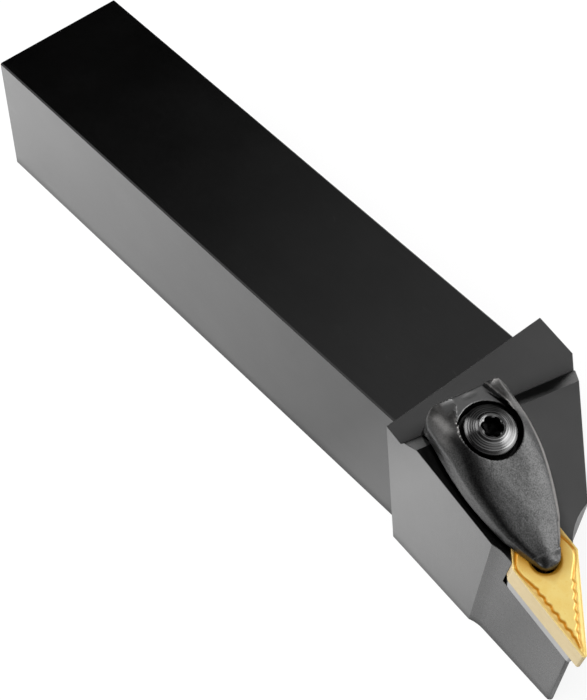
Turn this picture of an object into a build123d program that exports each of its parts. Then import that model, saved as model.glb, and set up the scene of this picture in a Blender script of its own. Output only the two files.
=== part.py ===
from build123d import *
from math import cos, radians, sin, tan
import os

# Indexable turning tool holder, left hand, 25 mm square shank, 35 degree insert.
# X runs from the rear end to the nose, Y to the left seen from the nose, Z up.
# The origin is the centre of the shank's rear end face. Millimetres.

# Shank
shank_width = 25.0
shank_height = 25.0
shank_edge_chamfer = 0.25
shank_end_chamfer = 0.2

# Where the cutting point stands, from the rear end, the far side and the base
tool_length = 150.0
tool_offset = 32.3
tool_height = 24.8

# Attitude of the insert seat, in degrees
lead_angle = 3.0
edge_slope = 13.66
edge_rake = 4.42

# Insert
insert_circle = 9.525
insert_thickness = 4.76
insert_corner = 35.0
insert_nose_radius = 0.4
insert_blunt_radius = 0.6
insert_hole_diameter = 3.81
insert_hole_break = 0.55
breaker_land = 0.35
breaker_width = 1.15
breaker_depth = 0.12

# Shim
shim_thickness = 3.18
shim_inset = 0.45
shim_nose_radius = 0.5
shim_blunt_radius = 1.6
shim_hole_diameter = 4.3
shim_sink_diameter = 6.0

# Shim screw
shim_screw_diameter = 3.5
shim_screw_head_diameter = 5.8
shim_screw_length = 9.0
shim_screw_socket = 1.9
shim_screw_socket_depth = 1.2
shim_screw_clearance = 0.1

# Head, as an outline in the plane of the insert, from its sharp corner
head_length = 43.8
rear_wall_stand = 0.12
flank_inset = 0.5
ridge_back = 21.2
ridge_run = 2.6
nose_cut_back = 3.85
nose_edge_radius = 0.6
trailing_inset = 0.48
scallop_radius = 10.0
scallop_back = 17.2
scallop_turn = 44.0
front_face_skew = 1.5
side_draft = 2.77
blank_rise = 2.0
ridge_lean = 3.5

# Clamp seat, ramp and rear shelf
seat_slope = 13.5
shelf_drop = 3.55
ramp_foot_back = 6.9
ramp_kick = 0.47
ramp_kick_height = 1.15
ramp_top_back = 3.9

# Insert pocket
pocket_gap = 0.05
pocket_side_gap = 0.3
pocket_relief_radius = 0.9

# Clamp
clamp_axis_turn = 12.0
clamp_reach = 18.6
clamp_drop = 0.46
clamp_rear_reach = 6.9
clamp_half_width = 6.75
clamp_foot_half_width = 6.1
clamp_foot_gap = 0.5
clamp_belt_low = 1.6
clamp_belt_high = 4.2
clamp_lobe_height = 7.75
clamp_arm_start = 3.0
clamp_arm_bulge = 1.65
clamp_arm_sections = 6
clamp_low_out = 0.95
clamp_low_up = 0.5
clamp_mid_out = 0.72
clamp_mid_up = 0.9
clamp_crest_start = 4.9
clamp_crest_height = 6.85
clamp_tip_reach = 20.5
clamp_tip_half_width = 1.9
clamp_tip_shoulder = 1.2
clamp_tip_height = 1.8
clamp_tip_low_out = 0.88
clamp_tip_low_up = 0.3
clamp_tip_mid_out = 0.48
clamp_tip_mid_up = 0.68
clamp_tip_radius = 2.1
clamp_tip_round = 1.1
clamp_corner_radius = 2.2
clamp_rear_round = 1.3
clamp_bore_diameter = 9.3
clamp_head_seat = 4.5
clamp_hole_diameter = 5.5
clamp_slot_rear_half_width = 2.7
clamp_slot_front_half_width = 4.2
clamp_slot_front_back = 2.4
clamp_slot_floor = 6.8
clamp_pad_length = 6.0
clamp_pad_gap = 0.03
clamp_arm_relief = 0.15
clamp_ramp_gap = 0.05
clamp_leg_half_width = 5.6
clamp_leg_depth = 2.7
clamp_leg_overlap = 1.2
clamp_leg_rear_gap = 0.05
finger_diameter = 3.2
finger_back = 0.1
finger_depth = 1.5
finger_root = 0.2

# Clamp screw
screw_diameter = 5.0
screw_fit = 0.05
screw_head_diameter = 8.1
screw_rim_height = 2.8
screw_crown = 0.95
screw_crown_ring = 4.3
screw_socket_across = 3.35
screw_socket_root = 1.4
screw_socket_lobe = 0.4
screw_socket_depth = 2.2
screw_length = 20.0
screw_tip_chamfer = 0.5
screw_hole_extra = 1.5

# Spring under the clamp
spring_wire = 0.7
spring_outer_diameter = 6.8
spring_recess_diameter = 7.2
spring_recess_height = 3.0
spring_end_gap = 0.05

# Attitude of the seat worked out from its three angles
lead = radians(lead_angle)
slope = radians(edge_slope)
rake = radians(edge_rake)
along = Vector(cos(slope) * cos(lead), -cos(slope) * sin(lead), -sin(slope))
level = Vector(sin(lead), cos(lead), 0)
upright = along.cross(level)
inward = level * cos(rake) + upright * sin(rake)
normal = along.cross(inward)
corner = radians(insert_corner)
side = insert_circle / sin(corner)
trailing = along * -cos(corner) + inward * sin(corner)
bisector = along * -cos(corner / 2) + inward * sin(corner / 2)
nose_setback = insert_nose_radius / sin(corner / 2)
tip = Vector(
    tool_length,
    shank_width / 2 - tool_offset,
    tool_height - shank_height / 2,
)
nose_centre = Vector(tip.X - insert_nose_radius, tip.Y + insert_nose_radius, tip.Z)
nose_touch = nose_centre - bisector * insert_nose_radius
nose_centre = nose_centre + Vector(0, 0, tip.Z - nose_touch.Z)
apex = nose_centre - bisector * nose_setback
insert_plane = Plane(origin=apex, x_dir=along, z_dir=normal)
insert_centre = apex + (along * -side + trailing * side) / 2

# Clamp frame: x towards the nose along the clamp, y across it, z along the screw
tilt = radians(seat_slope)
turn = radians(clamp_axis_turn)
clamp_up = Vector(sin(tilt), 0, cos(tilt))
clamp_side = Vector(sin(turn) * cos(tilt), cos(turn), -sin(turn) * sin(tilt)).normalized()
clamp_side = (clamp_side - clamp_up * clamp_side.dot(clamp_up)).normalized()
clamp_along = clamp_side.cross(clamp_up).normalized()
clamp_foot = insert_centre - clamp_along * clamp_reach - clamp_up * clamp_drop
seat_plane = Plane(origin=clamp_foot, x_dir=clamp_along, z_dir=clamp_up)


def seat_level(height):
    """The clamp's plane, raised along the screw."""
    return Plane(origin=clamp_foot + clamp_up * height, x_dir=clamp_along, z_dir=clamp_up)


def seat_section(reach):
    """A cross plane of the clamp: x across it, y along the screw."""
    return Plane(
        origin=clamp_foot + clamp_along * reach,
        x_dir=clamp_side,
        z_dir=clamp_along,
    )


# The clamp seen from the side: x towards the nose, y along the screw
seat_profile = Plane(origin=clamp_foot, x_dir=clamp_along, z_dir=clamp_side * -1)

# Levels under the insert
base = -shank_height / 2
shim_top = insert_thickness
seat_depth = insert_thickness + shim_thickness
rear_wall = tool_length - head_length
plenty = shank_height * 3


def insert_level(depth):
    """A plane parallel to the insert's top, that far below it."""
    return Plane(origin=apex - normal * depth, x_dir=along, z_dir=normal)


def diamond(inset):
    """Corners of the insert's outline moved inwards by inset, nose first."""
    half = corner / 2
    nose = Vector(-inset / tan(half), inset)
    edge = side - 2 * inset / sin(corner)
    far = Vector(-edge * cos(corner), edge * sin(corner))
    return [
        nose,
        nose + Vector(-edge, 0),
        nose + Vector(-edge, 0) + far,
        nose + far,
    ]


# Head blank: the outline runs down parallel to the ridge on the left side
lean = radians(ridge_lean)
head_down = (normal * -1 + along * tan(lean)).normalized()
blank_origin = apex - head_down * (blank_rise / normal.dot(head_down * -1))
blank_plane = Plane(origin=blank_origin, x_dir=along, z_dir=normal)
edge_out = Vector(sin(corner), cos(corner))
edge_back = Vector(-cos(corner), sin(corner))
scallop_start = edge_back * scallop_back - edge_out * trailing_inset
nose_start = Vector(-nose_cut_back, flank_inset)
nose_round = Vector(-nose_cut_back, flank_inset + nose_edge_radius)
nose_front = nose_round + Vector(nose_edge_radius, 0)
nose_end = nose_round + edge_out * nose_edge_radius
scallop_run = radians(scallop_turn)
scallop_end = (
    scallop_start
    + edge_back * scallop_radius * sin(scallop_run)
    + edge_out * scallop_radius * (1 - cos(scallop_run))
)
skew = radians(front_face_skew)
front_back = edge_back * cos(skew) + edge_out * sin(skew)
front_far = scallop_end + front_back * plenty

with BuildPart() as head:
    with BuildSketch(blank_plane):
        with BuildLine():
            flank_run = Line(nose_start, (-ridge_back + ridge_run, flank_inset))
            ridge = ThreePointArc(
                flank_run @ 1,
                (
                    -ridge_back + ridge_run / 2,
                    flank_inset - (flank_inset + rear_wall_stand) / 4,
                ),
                (-ridge_back, -rear_wall_stand),
            )
            rear_run = Line(ridge @ 1, (-plenty, -rear_wall_stand))
            far_run = Line(rear_run @ 1, front_far)
            front_run = Line(far_run @ 1, scallop_end)
            scallop = TangentArc(scallop_start, scallop_end, tangent=edge_back)
            trail_run = Line(scallop_start, nose_end)
            ThreePointArc(nose_end, nose_front, nose_start)
        make_face()
    extrude(amount=plenty, dir=head_down)
    # Seen from the side: rear wall, base and the slope of the clamp seat
    with BuildSketch(Plane.XZ.offset(plenty)):
        with BuildLine():
            seat_rear = clamp_foot.Z - (rear_wall - clamp_foot.X) * tan(tilt)
            seat_front = clamp_foot.Z - (tool_length - clamp_foot.X) * tan(tilt)
            Polyline(
                (rear_wall, base),
                (tool_length, base),
                (tool_length, seat_front),
                (rear_wall, seat_rear),
                close=True,
            )
        make_face()
    extrude(amount=-2 * plenty, mode=Mode.INTERSECT)
    # Seen from the end: the far side leans out a little
    with BuildSketch(Plane.YZ.offset(rear_wall - 1)):
        with BuildLine():
            Polyline(
                (-plenty, base),
                (shank_width / 2, base),
                (shank_width / 2 + plenty * tan(radians(side_draft)), base + plenty),
                (-plenty, base + plenty),
                close=True,
            )
        make_face()
    extrude(amount=plenty, mode=Mode.INTERSECT)
    # Rear shelf and the ramp that guides the clamp's tail
    with BuildSketch(seat_profile):
        with BuildLine():
            Polyline(
                (-ramp_foot_back, -shelf_drop),
                (-ramp_foot_back + ramp_kick, -shelf_drop + ramp_kick_height),
                (-ramp_top_back, 0),
                (-ramp_top_back, shelf_drop),
                (-plenty, shelf_drop),
                (-plenty, -shelf_drop),
                close=True,
            )
        make_face()
    extrude(amount=plenty, both=True, mode=Mode.SUBTRACT)

# Pocket walls meet behind the insert's rear corner
pocket = diamond(-pocket_gap)
right_wall = diamond(-pocket_side_gap)
left_dir = Vector(cos(corner), -sin(corner))
rear_corner = pocket[1] + left_dir * -(right_wall[2].Y - pocket[1].Y) / sin(corner)
pocket_left = rear_corner + left_dir * 4 * insert_circle
pocket_right = rear_corner + Vector(4 * insert_circle, 0)

screw_end = screw_length - clamp_head_seat
shim_screw_end = shim_top + shim_screw_length

with BuildPart() as holder_body:
    with BuildSketch(Plane.YZ):
        Rectangle(shank_width, shank_height)
    extrude(amount=rear_wall)
    chamfer(holder_body.edges().filter_by(Axis.X), length=shank_edge_chamfer)
    rear_edges = holder_body.faces().sort_by(Axis.X)[0].edges()
    chamfer(rear_edges, length=shank_end_chamfer)
    add(head.part)
    # Insert pocket
    with BuildSketch(insert_level(seat_depth)):
        with BuildLine():
            Polyline(rear_corner, pocket_left, pocket_right, close=True)
        make_face()
    extrude(amount=seat_depth * 2, mode=Mode.SUBTRACT)
    with BuildSketch(insert_level(seat_depth)):
        with Locations(rear_corner, pocket[1]):
            Circle(pocket_relief_radius)
    extrude(amount=seat_depth - insert_thickness / 2, mode=Mode.SUBTRACT)
    # Shim screw hole
    with BuildSketch(insert_level(shim_screw_end + 1)):
        with Locations(insert_plane.to_local_coords(insert_centre)):
            Circle(shim_screw_diameter / 2 + screw_fit)
    extrude(amount=shim_screw_end + 1, mode=Mode.SUBTRACT)
    # Clamp screw hole
    with BuildSketch(seat_level(-screw_end - screw_hole_extra)):
        Circle(screw_diameter / 2 + screw_fit)
    extrude(amount=screw_end + screw_hole_extra + 1, mode=Mode.SUBTRACT)

# Insert: a 35 degree diamond with a chip groove along its edges on both faces
insert_corners = diamond(0)
with BuildPart() as insert:
    with BuildSketch(insert_level(insert_thickness)):
        with BuildLine():
            Polyline(*insert_corners, close=True)
        make_face()
    extrude(amount=insert_thickness)
    uprights = insert.edges().filter_by(Axis(apex, normal))
    sharp = uprights.sort_by_distance(apex - normal * insert_thickness / 2)
    far_corner = insert_plane.from_local_coords(insert_corners[2])
    acute = ShapeList([sharp[0]]) + ShapeList([uprights.sort_by_distance(far_corner)[0]])
    blunt = uprights - acute
    fillet(acute, radius=insert_nose_radius)
    fillet(blunt, radius=insert_blunt_radius)
    for groove_level in (0, insert_thickness - breaker_depth):
        with BuildSketch(insert_level(groove_level + breaker_depth)):
            with BuildLine():
                Polyline(*diamond(breaker_land), close=True)
            make_face()
            with BuildLine():
                Polyline(*diamond(breaker_land + breaker_width), close=True)
            make_face(mode=Mode.SUBTRACT)
        extrude(amount=breaker_depth, mode=Mode.SUBTRACT)
    with BuildSketch(insert_level(insert_thickness)):
        with Locations(insert_plane.to_local_coords(insert_centre)):
            Circle(insert_hole_diameter / 2)
    extrude(amount=insert_thickness, mode=Mode.SUBTRACT)
    rims = insert.edges().filter_by(GeomType.CIRCLE)
    rims = [e for e in rims if abs(e.radius - insert_hole_diameter / 2) < 0.01]
    chamfer(rims, length=insert_hole_break)
insert.part.label = "insert"

# Shim under the insert
sink_depth = (shim_sink_diameter - shim_hole_diameter) / 2
with BuildPart() as shim:
    with BuildSketch(insert_level(seat_depth)):
        with BuildLine():
            Polyline(*diamond(shim_inset), close=True)
        make_face()
    extrude(amount=shim_thickness)
    shim_uprights = shim.edges().filter_by(Axis(apex, normal))
    shim_middle = insert_centre - normal * (seat_depth + shim_top) / 2
    shim_blunt = shim_uprights.sort_by_distance(shim_middle)[:2]
    fillet(shim_uprights - shim_blunt, radius=shim_nose_radius)
    fillet(shim_blunt, radius=shim_blunt_radius)
    with BuildSketch(insert_level(seat_depth)):
        with Locations(insert_plane.to_local_coords(insert_centre)):
            Circle(shim_hole_diameter / 2)
    extrude(amount=shim_thickness, mode=Mode.SUBTRACT)
    shim_rim = shim.edges().filter_by(GeomType.CIRCLE)
    shim_rim = shim_rim.filter_by(lambda e: abs(e.radius - shim_hole_diameter / 2) < 0.01)
    chamfer(shim_rim.sort_by(Axis(apex, normal))[-1], length=sink_depth)
shim.part.label = "shim"

# Shim screw, sunk below the insert
screw_sink = shim_screw_head_diameter / 2 - shim_screw_diameter / 2
shim_screw_axis = Plane(
    origin=insert_centre - normal * shim_top,
    x_dir=along,
    z_dir=inward * -1,
)
with BuildPart() as shim_screw:
    with BuildSketch(shim_screw_axis):
        with BuildLine():
            Polyline(
                (0, -shim_screw_clearance),
                (shim_screw_head_diameter / 2 - shim_screw_clearance, -shim_screw_clearance),
                (shim_screw_diameter / 2, -shim_screw_clearance - screw_sink),
                (shim_screw_diameter / 2, -shim_screw_length),
                (0, -shim_screw_length),
                close=True,
            )
        make_face()
    revolve(axis=Axis(insert_centre, normal))
    with BuildSketch(insert_level(shim_top + shim_screw_clearance)):
        with Locations(insert_plane.to_local_coords(insert_centre)):
            RegularPolygon(shim_screw_socket / 2, 6, major_radius=False)
    extrude(amount=-shim_screw_socket_depth, mode=Mode.SUBTRACT)
shim_screw.part.label = "shim_screw"

# Clamp: a forging that narrows and falls away to the nose like a bullet
def clamp_sweep(reach):
    """Share of the arm's taper used up at that reach, 0 behind the arm and 1 at its tip."""
    share = (reach - clamp_arm_start) / (clamp_tip_reach - clamp_arm_start)
    return max(share, 0.0) ** clamp_arm_bulge


def clamp_crest(reach):
    """Height of the clamp's back above the seat."""
    fall = (clamp_crest_height - clamp_tip_height) / (clamp_tip_reach - clamp_crest_start)
    return min(clamp_lobe_height, clamp_crest_height - fall * (reach - clamp_crest_start))


rear_end = -clamp_rear_reach - 1
arm_step = (clamp_tip_reach - clamp_arm_start) / (clamp_arm_sections - 1)
reaches = [rear_end, -clamp_rear_reach / 3]
reaches += [clamp_arm_start + arm_step * i for i in range(clamp_arm_sections)]
with BuildPart() as clamp:
    for reach in reaches:
        share = clamp_sweep(reach)
        half = clamp_half_width + (clamp_tip_half_width - clamp_half_width) * share
        shoulder = clamp_belt_high + (clamp_tip_shoulder - clamp_belt_high) * share
        rise = clamp_crest(reach) - shoulder
        belt = clamp_belt_low * shoulder / clamp_belt_high
        foot_in = (clamp_half_width - clamp_foot_half_width) * (1 - share)
        low_out = clamp_low_out + (clamp_tip_low_out - clamp_low_out) * share
        low_up = clamp_low_up + (clamp_tip_low_up - clamp_low_up) * share
        mid_out = clamp_mid_out + (clamp_tip_mid_out - clamp_mid_out) * share
        mid_up = clamp_mid_up + (clamp_tip_mid_up - clamp_mid_up) * share
        with BuildSketch(seat_section(reach)):
            with BuildLine():
                Polyline((-half, shoulder), (-half, belt), (-half + foot_in, 0))
                Line((-half + foot_in, 0), (half - foot_in, 0))
                Polyline((half - foot_in, 0), (half, belt), (half, shoulder))
                Spline(
                    (half, shoulder),
                    (half * low_out, shoulder + rise * low_up),
                    (half * mid_out, shoulder + rise * mid_up),
                    (0, shoulder + rise),
                    (-half * mid_out, shoulder + rise * mid_up),
                    (-half * low_out, shoulder + rise * low_up),
                    (-half, shoulder),
                )
            make_face()
    loft()
    # Plan: rounded rear corners and nose
    with BuildSketch(seat_level(clamp_foot_gap)):
        with BuildLine():
            nose_middle = clamp_tip_reach - clamp_tip_radius
            corner_middle = clamp_corner_radius - clamp_rear_reach
            outer = clamp_half_width + 1
            corner_in = clamp_half_width - clamp_corner_radius
            for end in (1, -1):
                Polyline(
                    (corner_middle, end * clamp_half_width),
                    (corner_middle, end * outer),
                    (nose_middle, end * outer),
                    (nose_middle, end * clamp_tip_radius),
                )
                RadiusArc(
                    (corner_middle, end * clamp_half_width),
                    (-clamp_rear_reach, end * corner_in),
                    -end * clamp_corner_radius,
                )
            Line((-clamp_rear_reach, corner_in), (-clamp_rear_reach, -corner_in))
            ThreePointArc(
                (nose_middle, -clamp_tip_radius),
                (clamp_tip_reach, 0),
                (nose_middle, clamp_tip_radius),
            )
        make_face()
    extrude(amount=clamp_lobe_height * 1.5, mode=Mode.INTERSECT)
    # Side: rounded rear edge and nose
    with BuildSketch(seat_profile):
        with BuildLine():
            rear_low = clamp_lobe_height - clamp_rear_round
            nose_low = clamp_tip_height - clamp_tip_round
            front_high = clamp_crest_height + 2 * clamp_rear_round
            Polyline(
                (-clamp_rear_reach + clamp_rear_round, clamp_lobe_height),
                (-clamp_rear_reach + clamp_rear_round, front_high),
                (clamp_tip_reach - clamp_tip_round, front_high),
                (clamp_tip_reach - clamp_tip_round, clamp_tip_height),
            )
            RadiusArc(
                (-clamp_rear_reach, rear_low),
                (-clamp_rear_reach + clamp_rear_round, clamp_lobe_height),
                clamp_rear_round,
            )
            RadiusArc(
                (clamp_tip_reach - clamp_tip_round, clamp_tip_height),
                (clamp_tip_reach, nose_low),
                clamp_tip_round,
            )
            Polyline(
                (clamp_tip_reach, nose_low),
                (clamp_tip_reach, -shelf_drop),
                (-clamp_rear_reach, -shelf_drop),
                (-clamp_rear_reach, rear_low),
            )
        make_face()
    extrude(amount=clamp_half_width * 2, both=True, mode=Mode.INTERSECT)
    # Clear of the insert except at the nose pad
    with BuildSketch(insert_level(-clamp_pad_gap)):
        with Locations(insert_plane.to_local_coords(insert_centre)):
            Rectangle(4 * side, 4 * side)
    extrude(amount=-insert_thickness, mode=Mode.SUBTRACT)
    with BuildSketch(insert_level(-clamp_arm_relief)):
        with BuildLine():
            pad_edge = clamp_reach - clamp_pad_length + finger_diameter / 2
            corners = [
                (pad_edge, -clamp_half_width - 1),
                (pad_edge, clamp_half_width + 1),
                (-clamp_rear_reach - 1, clamp_half_width + 1),
                (-clamp_rear_reach - 1, -clamp_half_width - 1),
            ]
            flat = [insert_plane.to_local_coords(seat_plane.from_local_coords(c)) for c in corners]
            Polyline(*[Vector(p.X, p.Y) for p in flat], close=True)
        make_face()
    extrude(amount=-insert_thickness, mode=Mode.SUBTRACT)
    # Tail leg behind the ramp
    ramp_run = Vector(
        ramp_foot_back - ramp_kick - ramp_top_back,
        shelf_drop - ramp_kick_height,
    ).normalized()
    ramp_out = Vector(-ramp_run.Y, ramp_run.X) * clamp_ramp_gap
    leg_top = Vector(-ramp_top_back, 0) + ramp_out + ramp_run * clamp_leg_overlap
    leg_low = Vector(-ramp_top_back, 0) + ramp_out - ramp_run * (clamp_leg_depth / ramp_run.Y)
    with BuildSketch(seat_profile):
        with BuildLine():
            Polyline(
                leg_top,
                leg_low,
                (-clamp_rear_reach + clamp_leg_rear_gap, leg_low.Y),
                (-clamp_rear_reach + clamp_leg_rear_gap, clamp_belt_high),
                (leg_top.X, clamp_belt_high),
                close=True,
            )
        make_face()
    extrude(amount=clamp_leg_half_width, both=True)
    # Finger in the insert's hole
    with BuildSketch(seat_level(clamp_drop - finger_depth)):
        with Locations((clamp_reach - finger_back, 0)):
            Circle(finger_diameter / 2)
    extrude(amount=finger_depth + finger_root)
    # Screw seat, hole, slot and spring recess
    with BuildSketch(seat_level(clamp_head_seat)):
        Circle(clamp_bore_diameter / 2)
    extrude(amount=clamp_lobe_height, mode=Mode.SUBTRACT)
    with BuildSketch(seat_level(clamp_slot_floor)):
        with BuildLine():
            Polyline(
                (rear_end, -clamp_slot_rear_half_width),
                (-clamp_rear_reach * 0.8, -clamp_slot_rear_half_width),
                (-clamp_slot_front_back, -clamp_slot_front_half_width),
                (-clamp_slot_front_back, clamp_slot_front_half_width),
                (-clamp_rear_reach * 0.8, clamp_slot_rear_half_width),
                (rear_end, clamp_slot_rear_half_width),
                close=True,
            )
        make_face()
    extrude(amount=clamp_lobe_height, mode=Mode.SUBTRACT)
    with BuildSketch(seat_level(-shelf_drop)):
        Circle(clamp_hole_diameter / 2)
    extrude(amount=clamp_lobe_height * 2, mode=Mode.SUBTRACT)
    with BuildSketch(seat_level(-shelf_drop)):
        Circle(spring_recess_diameter / 2)
    extrude(amount=shelf_drop + spring_recess_height, mode=Mode.SUBTRACT)
clamp.part.label = "clamp"

# Clamp screw
screw_profile = Plane(origin=clamp_foot, x_dir=clamp_side, z_dir=clamp_along)
rim_level = clamp_head_seat + screw_rim_height
crown_level = rim_level + screw_crown
with BuildPart() as clamp_screw:
    with BuildSketch(screw_profile):
        with BuildLine():
            Polyline(
                (0, crown_level),
                (screw_crown_ring / 2, crown_level),
                (screw_head_diameter / 2, rim_level),
                (screw_head_diameter / 2, clamp_head_seat),
                (screw_diameter / 2, clamp_head_seat),
                (screw_diameter / 2, -screw_end + screw_tip_chamfer),
                (screw_diameter / 2 - screw_tip_chamfer, -screw_end),
                (0, -screw_end),
                close=True,
            )
        make_face()
    revolve(axis=Axis(clamp_foot, clamp_up))
    # Six-lobe socket
    with BuildSketch(seat_level(crown_level - screw_socket_depth)):
        Circle(screw_socket_root)
        with PolarLocations(screw_socket_across / 2 - screw_socket_lobe, 6):
            Circle(screw_socket_lobe)
    extrude(amount=screw_socket_depth + 1, mode=Mode.SUBTRACT)
clamp_screw.part.label = "clamp_screw"

# Spring that lifts the clamp, squeezed into the recess under it
spring_height = spring_recess_height - 2 * spring_end_gap
with BuildPart() as clamp_spring:
    with BuildSketch(seat_level(spring_end_gap)):
        Circle(spring_outer_diameter / 2)
        Circle(spring_outer_diameter / 2 - spring_wire, mode=Mode.SUBTRACT)
    extrude(amount=spring_height)
clamp_spring.part.label = "clamp_spring"

holder_body.part.label = "holder_body"

os.makedirs("parts", exist_ok=True)
export_step(holder_body.part, "parts/holder_body.step")
export_step(insert.part, "parts/insert.step")
export_step(shim.part, "parts/shim.step")
export_step(shim_screw.part, "parts/shim_screw.step")
export_step(clamp.part, "parts/clamp.step")
export_step(clamp_screw.part, "parts/clamp_screw.step")
export_step(clamp_spring.part, "parts/clamp_spring.step")
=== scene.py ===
import math

import bmesh
import bpy
from mathutils import Matrix, Vector, noise


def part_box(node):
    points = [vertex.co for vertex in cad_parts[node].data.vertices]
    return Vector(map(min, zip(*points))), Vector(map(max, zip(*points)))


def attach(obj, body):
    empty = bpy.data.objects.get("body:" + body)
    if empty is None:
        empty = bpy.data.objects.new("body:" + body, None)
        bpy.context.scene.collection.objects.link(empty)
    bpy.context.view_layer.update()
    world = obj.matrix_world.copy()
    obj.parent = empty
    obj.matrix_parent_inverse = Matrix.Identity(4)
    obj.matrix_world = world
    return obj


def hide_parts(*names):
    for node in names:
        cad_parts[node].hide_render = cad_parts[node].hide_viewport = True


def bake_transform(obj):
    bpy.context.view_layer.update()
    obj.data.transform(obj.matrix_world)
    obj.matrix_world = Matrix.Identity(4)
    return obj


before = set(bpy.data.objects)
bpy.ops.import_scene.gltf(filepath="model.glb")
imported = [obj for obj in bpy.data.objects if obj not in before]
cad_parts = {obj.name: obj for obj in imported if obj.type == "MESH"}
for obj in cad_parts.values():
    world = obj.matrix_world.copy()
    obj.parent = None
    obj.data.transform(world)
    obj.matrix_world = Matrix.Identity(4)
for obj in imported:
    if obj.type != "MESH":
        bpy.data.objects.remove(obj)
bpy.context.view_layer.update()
scene = bpy.context.scene
MM = 0.001
WELD = 0.002 * MM
# angles under which two faces count as one plane, or as one curved face
SAME_PLANE = math.radians(0.7)
SAME_CURVE = math.radians(9)

# directions and places, from the solids: insert, its seat, clamp
lead, slope, rake, corner = (math.radians(v) for v in (3.0, 13.66, 4.42, 35.0))
along = Vector((math.cos(slope) * math.cos(lead), -math.cos(slope) * math.sin(lead), -math.sin(slope)))
level = Vector((math.sin(lead), math.cos(lead), 0))
inward = level * math.cos(rake) + along.cross(level) * math.sin(rake)
normal = along.cross(inward)
insert_centre = Vector((136.481, -14.3569, 15.9933)) * MM
THICK = 4.76
clamp_up = Vector((0.233445, 0, 0.97237))
clamp_along = Vector((0.951121, -0.207912, -0.228344))
clamp_side = clamp_up.cross(clamp_along)
clamp_foot = Vector((118.682, -10.4898, 19.7932)) * MM


def placed(x, y, z, origin):
    """Matrix of a local frame."""
    m = Matrix((x.normalized(), y.normalized(), z.normalized())).transposed().to_4x4()
    m.translation = origin
    return m


SEAT = placed(clamp_along, clamp_side, clamp_up, clamp_foot)
INSERT = placed(along, inward, normal, insert_centre)
SHIM_SEAT = placed(along, inward, normal, insert_centre - normal * THICK * MM)


# mesh helpers
def smooth(t):
    """An eased step from 0 to 1."""
    t = max(0.0, min(1.0, t))
    return t * t * (3 - 2 * t)


def band(a, b, count):
    """Faces between two rings of points, from the numbers of their first points."""
    return [(a + i, a + (i + 1) % count, b + (i + 1) % count, b + i) for i in range(count)]


def made(name, verts, faces, matrix, groups=None):
    """A piece from points in millimetres and faces, with its points moved by a matrix."""
    mesh = bpy.data.meshes.new(name)
    points = [matrix @ (Vector(v) * MM) for v in verts]
    mesh.from_pydata([tuple(p) for p in points], [], faces)
    obj = bpy.data.objects.new(name, mesh)
    scene.collection.objects.link(obj)
    if groups:
        for face, index in zip(mesh.polygons, groups):
            face.material_index = index
    for face in mesh.polygons:
        face.use_smooth = True
    mesh.validate()
    mesh.update()
    return obj


def copied(node, name):
    """A welded copy of a CAD node's mesh as a new piece."""
    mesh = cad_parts[node].data.copy()
    mesh.materials.clear()
    bm = bmesh.new()
    bm.from_mesh(mesh)
    bmesh.ops.remove_doubles(bm, verts=bm.verts, dist=WELD)
    bmesh.ops.recalc_face_normals(bm, faces=bm.faces)
    for e in bm.edges:
        e.smooth = True
    for f in bm.faces:
        f.smooth = True
    bm.to_mesh(mesh)
    bm.free()
    for kind in ("custom_normal", "sharp_face"):
        if kind in mesh.attributes:
            mesh.attributes.remove(mesh.attributes[kind])
    obj = bpy.data.objects.new(name, mesh)
    scene.collection.objects.link(obj)
    return obj


def applied(obj):
    """Puts the modifiers' result into the mesh."""
    bpy.context.view_layer.update()
    dg = bpy.context.evaluated_depsgraph_get()
    mesh = bpy.data.meshes.new_from_object(obj.evaluated_get(dg), depsgraph=dg)
    obj.modifiers.clear()
    obj.data = mesh


def eased(obj, width, angle, strip=None):
    """Rounds an object's sharp edges by a small radius, with a material for the strips."""
    bm = bmesh.new()
    bm.from_mesh(obj.data)
    bmesh.ops.dissolve_limit(bm, angle_limit=SAME_PLANE, verts=bm.verts, edges=bm.edges)
    for e in bm.edges:
        e.smooth = len(e.link_faces) != 2 or e.calc_face_angle(0.0) < SAME_CURVE
    bm.to_mesh(obj.data)
    bm.free()
    m = obj.modifiers.new("ease", "BEVEL")
    m.width = width * MM
    m.segments = 2
    m.limit_method = "ANGLE"
    m.angle_limit = math.radians(angle)
    m.harden_normals = True
    m.miter_outer = "MITER_ARC"
    if strip is not None:
        m.material = strip


def smoothed(obj, name, times, group=""):
    """Smooths an object's mesh, all of it or by a vertex group."""
    m = obj.modifiers.new(name, "SMOOTH")
    m.factor = 0.5
    m.iterations = times
    m.vertex_group = group


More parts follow.
